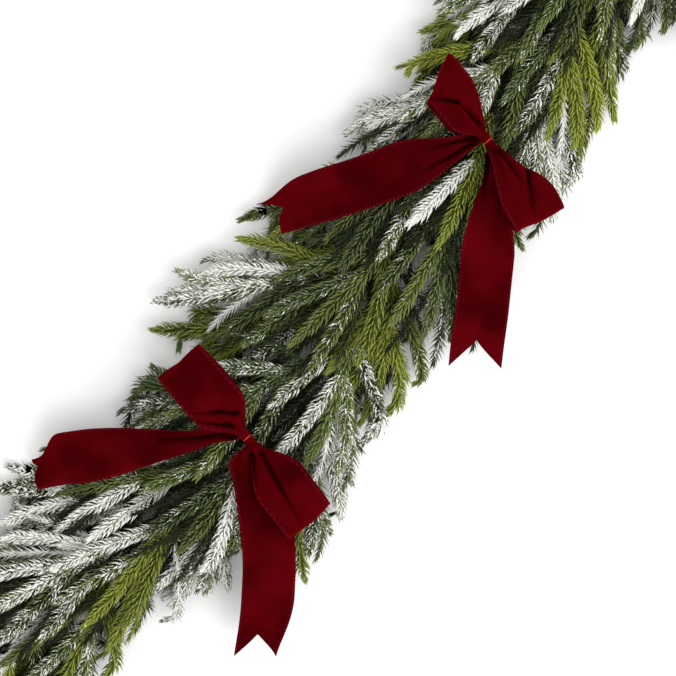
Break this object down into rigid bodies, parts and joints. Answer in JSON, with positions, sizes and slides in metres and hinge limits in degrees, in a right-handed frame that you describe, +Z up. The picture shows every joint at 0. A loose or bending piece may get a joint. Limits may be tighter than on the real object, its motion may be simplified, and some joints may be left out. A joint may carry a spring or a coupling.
{
  "type": "artificial christmas garland",
  "caption": "Long bushy pine garland of flocked and green needle sprays on a core wire, with pinched velvet ribbon bows tied along its top and a hanging eye at each end.",
  "frame": {"origin": "middle of the underside of the garland's box, on the surface it lies on", "axes": "+X along the garland, against the way its sprays point; +Z up from the surface; +Y to the left, seen along +X"},
  "size_m": [1.8241, 0.5109, 0.1607],
  "materials": {
    "core_wire": "dark green plastic-covered twisted wire",
    "needle_dark": "dark green moulded needles with a light frost of flock on their upper sides",
    "needle_lime": "lime green moulded needles, lighter at the tips",
    "needle_flocked": "needles under a rough white snow flock",
    "ribbon_velvet": "deep red velvet with a darker woven wired edge",
    "tie_wire": "thin bright red covered wire"
  },
  "bodies": {
    "root": {"bow_1_ribbon": "ribbon_velvet", "bow_1_tie": "tie_wire", "bow_2_ribbon": "ribbon_velvet", "bow_2_tie": "tie_wire", "bow_3_ribbon": "ribbon_velvet", "bow_3_tie": "tie_wire", "bow_4_ribbon": "ribbon_velvet", "bow_4_tie": "tie_wire", "core_wire": "core_wire", "hanging_eye_1": "core_wire", "hanging_eye_2": "core_wire", "spray_01": "needle_dark", "spray_02": "needle_dark", "spray_03": "needle_lime", "spray_04": "needle_dark", "spray_05": "needle_lime", "spray_06": "needle_flocked", "spray_07": "needle_dark", "spray_08": "needle_dark", "spray_09": "needle_flocked", "spray_10": "needle_dark", "spray_11": "needle_dark", "spray_12": "needle_dark", "spray_13": "needle_flocked", "spray_14": "needle_flocked", "spray_15": "needle_flocked", "spray_16": "needle_dark", "spray_17": "needle_flocked", "spray_18": "needle_flocked", "spray_19": "needle_lime", "spray_20": "needle_dark", "spray_21": "needle_dark", "spray_22": "needle_dark", "spray_23": "needle_dark", "spray_24": "needle_lime", "spray_25": "needle_lime", "spray_26": "needle_flocked", "spray_27": "needle_flocked", "spray_28": "needle_flocked", "spray_29": "needle_dark", "spray_30": "needle_dark", "spray_31": "needle_dark", "spray_32": "needle_flocked", "spray_33": "needle_flocked", "spray_34": "needle_flocked", "spray_35": "needle_flocked", "spray_36": "needle_flocked", "spray_37": "needle_dark", "spray_38": "needle_lime", "spray_39": "needle_flocked", "spray_40": "needle_dark", "spray_41": "needle_dark", "spray_42": "needle_dark", "spray_43": "needle_dark", "spray_44": "needle_dark", "spray_45": "needle_dark"}
  },
  "joints": []
}
